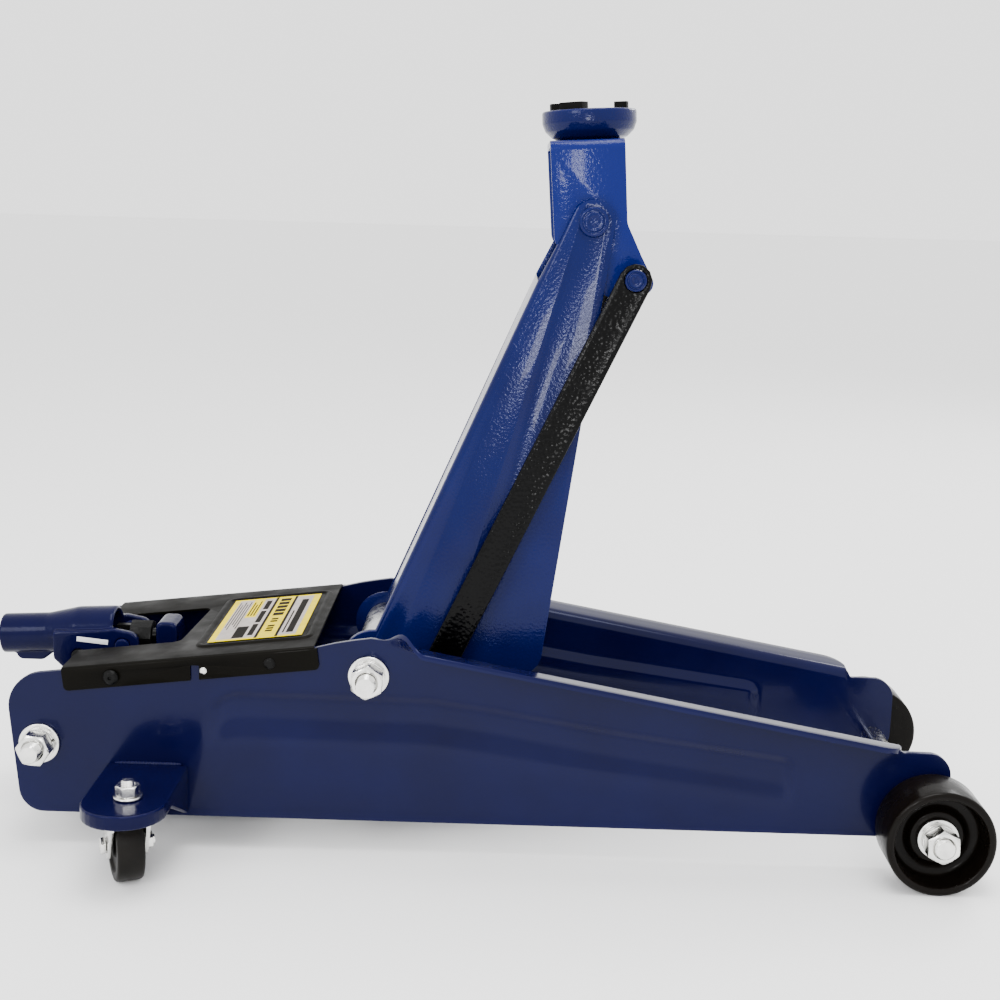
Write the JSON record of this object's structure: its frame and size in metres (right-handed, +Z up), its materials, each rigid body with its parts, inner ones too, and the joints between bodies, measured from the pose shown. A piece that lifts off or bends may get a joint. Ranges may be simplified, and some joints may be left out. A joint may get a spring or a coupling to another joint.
{
  "type": "trolley jack",
  "caption": "Hydraulic trolley floor jack with a raised lift arm, parallel links, a swivel saddle, front wheels and rear swivel casters.",
  "frame": {"origin": "middle of the footprint, on the ground", "axes": "+X towards the front wheels, +Z up, the near side is -Y"},
  "size_m": [0.638, 0.321, 0.4712],
  "materials": {
    "blue_paint": "gloss navy enamel",
    "black_paint": "satin black powder coat",
    "black_steel": "black, slightly hammered",
    "zinc": "bright zinc plate",
    "bright_steel": "ground steel, oiled",
    "wheel_iron": "black gloss enamel on cast iron",
    "caster_tread": "black hard tread",
    "rubber": "matt",
    "label": null
  },
  "bodies": {
    "chassis": {"near_side_plate": "blue_paint", "far_side_plate": "blue_paint", "arm_pivot_shaft": "zinc", "arm_pivot_sleeve": "bright_steel", "near_tie_stud": "zinc", "far_tie_stud": "zinc", "near_pivot_washers": "zinc", "far_pivot_washers": "zinc", "near_pivot_nut": "zinc", "far_pivot_nut": "zinc", "near_tie_washers": "zinc", "far_tie_washers": "zinc", "near_tie_nut": "zinc", "far_tie_nut": "zinc", "front_axle": "zinc", "near_wheel_washer": "zinc", "far_wheel_washer": "zinc", "near_wheel_nut": "zinc", "far_wheel_nut": "zinc", "cover_plate": "black_paint", "cover_label": "label", "near_cover_screw": "black_steel", "far_cover_screw": "black_steel", "hydraulic_block": "blue_paint", "reservoir": "blue_paint", "ram_cylinder": "bright_steel", "gland_nut": "blue_paint", "near_caster_bracket": "blue_paint", "far_caster_bracket": "blue_paint", "near_kingpin": "zinc", "far_kingpin": "zinc", "near_kingpin_nut": "zinc", "far_kingpin_nut": "zinc", "near_link_stud": "bright_steel", "far_link_stud": "bright_steel", "near_socket_pin": "black_steel", "far_socket_pin": "black_steel"},
    "lift_arm": {"lift_arm": "blue_paint", "lever_pin": "bright_steel", "arm_top_pin": "blue_paint"},
    "near_link": {"near_link": "black_steel"},
    "far_link": {"far_link": "black_steel"},
    "saddle_bracket": {"saddle_bracket": "blue_paint", "link_top_pin": "blue_paint"},
    "saddle": {"saddle": "blue_paint", "saddle_pad": "rubber"},
    "ram": {"ram_rod": "bright_steel", "crosshead": "black_steel"},
    "handle_socket": {"handle_socket": "blue_paint", "pump_roller": "black_steel"},
    "pump_plunger": {"pump_plunger": "bright_steel"},
    "release_spindle": {"release_spindle": "black_steel"},
    "near_front_wheel": {"near_front_wheel": "wheel_iron"},
    "far_front_wheel": {"far_front_wheel": "wheel_iron"},
    "near_caster": {"near_caster_fork": "zinc", "near_caster_axle": "zinc"},
    "far_caster": {"far_caster_fork": "zinc", "far_caster_axle": "zinc"},
    "near_caster_wheel": {"near_caster_wheel": "caster_tread"},
    "far_caster_wheel": {"far_caster_wheel": "caster_tread"}
  },
  "joints": [
    {"name": "lift", "type": "hinge", "parent": "chassis", "child": "lift_arm", "pos_m": [-0.06646, 0, 0.118], "axis": [0, 1, 0], "range_deg": [0, 72]},
    {"name": "near_link_pivot", "type": "hinge", "parent": "chassis", "child": "near_link", "pos_m": [-0.04046, -0.0555, 0.084], "axis": [0, 1, 0], "range_deg": [0, 72.5]},
    {"name": "far_link_pivot", "type": "hinge", "parent": "chassis", "child": "far_link", "pos_m": [-0.04046, 0.0555, 0.084], "axis": [0, 1, 0], "range_deg": [0, 72.5]},
    {"name": "bracket_pivot", "type": "hinge", "parent": "lift_arm", "child": "saddle_bracket", "pos_m": [0.06351, 0, 0.398], "axis": [0, 1, 0], "range_deg": [-72.5, 0]},
    {"name": "saddle_swivel", "type": "hinge", "parent": "saddle_bracket", "child": "saddle", "pos_m": [0.06133, 0, 0.44676], "axis": [-0.061, 0, 0.9981], "continuous": true},
    {"name": "ram_slide", "type": "slide", "parent": "chassis", "child": "ram", "axis": [1, 0, 0], "range_m": [-0.06858, 0]},
    {"name": "handle_pump", "type": "hinge", "parent": "chassis", "child": "handle_socket", "pos_m": [-0.23446, 0, 0.115], "axis": [0, 1, 0], "range_deg": [0, 50]},
    {"name": "plunger_slide", "type": "slide", "parent": "chassis", "child": "pump_plunger", "axis": [0, 0, 1], "range_m": [0, 0.0253]},
    {"name": "release_valve", "type": "hinge", "parent": "chassis", "child": "release_spindle", "pos_m": [-0.21946, 0, 0.117], "axis": [1, 0, 0], "range_deg": [0, 180]},
    {"name": "near_wheel_spin", "type": "hinge", "parent": "chassis", "child": "near_front_wheel", "pos_m": [0.28554, -0.09725, 0.0335], "axis": [0, 1, 0], "continuous": true},
    {"name": "far_wheel_spin", "type": "hinge", "parent": "chassis", "child": "far_front_wheel", "pos_m": [0.28554, 0.09725, 0.0335], "axis": [0, 1, 0], "continuous": true},
    {"name": "near_caster_swivel", "type": "hinge", "parent": "chassis", "child": "near_caster", "pos_m": [-0.20346, -0.1315, 0.045], "axis": [0, 0, 1], "continuous": true},
    {"name": "near_caster_spin", "type": "hinge", "parent": "near_caster", "child": "near_caster_wheel", "pos_m": [-0.20834, -0.12054, 0.0225], "axis": [0.9135, 0.4067, 0], "continuous": true},
    {"name": "far_caster_swivel", "type": "hinge", "parent": "chassis", "child": "far_caster", "pos_m": [-0.20346, 0.1315, 0.045], "axis": [0, 0, 1], "continuous": true},
    {"name": "far_caster_spin", "type": "hinge", "parent": "far_caster", "child": "far_caster_wheel", "pos_m": [-0.20834, 0.12054, 0.0225], "axis": [0.9135, -0.4067, 0], "continuous": true}
  ],
  "couplings": [
    {"joint": "near_link_pivot", "follows": "lift", "ratio": 1},
    {"joint": "far_link_pivot", "follows": "lift", "ratio": 1},
    {"joint": "bracket_pivot", "follows": "lift", "ratio": -1},
    {"joint": "ram_slide", "follows": "lift", "m_per_rad": -0.05426},
    {"joint": "plunger_slide", "follows": "handle_pump", "m_per_rad": 0.0286}
  ]
}
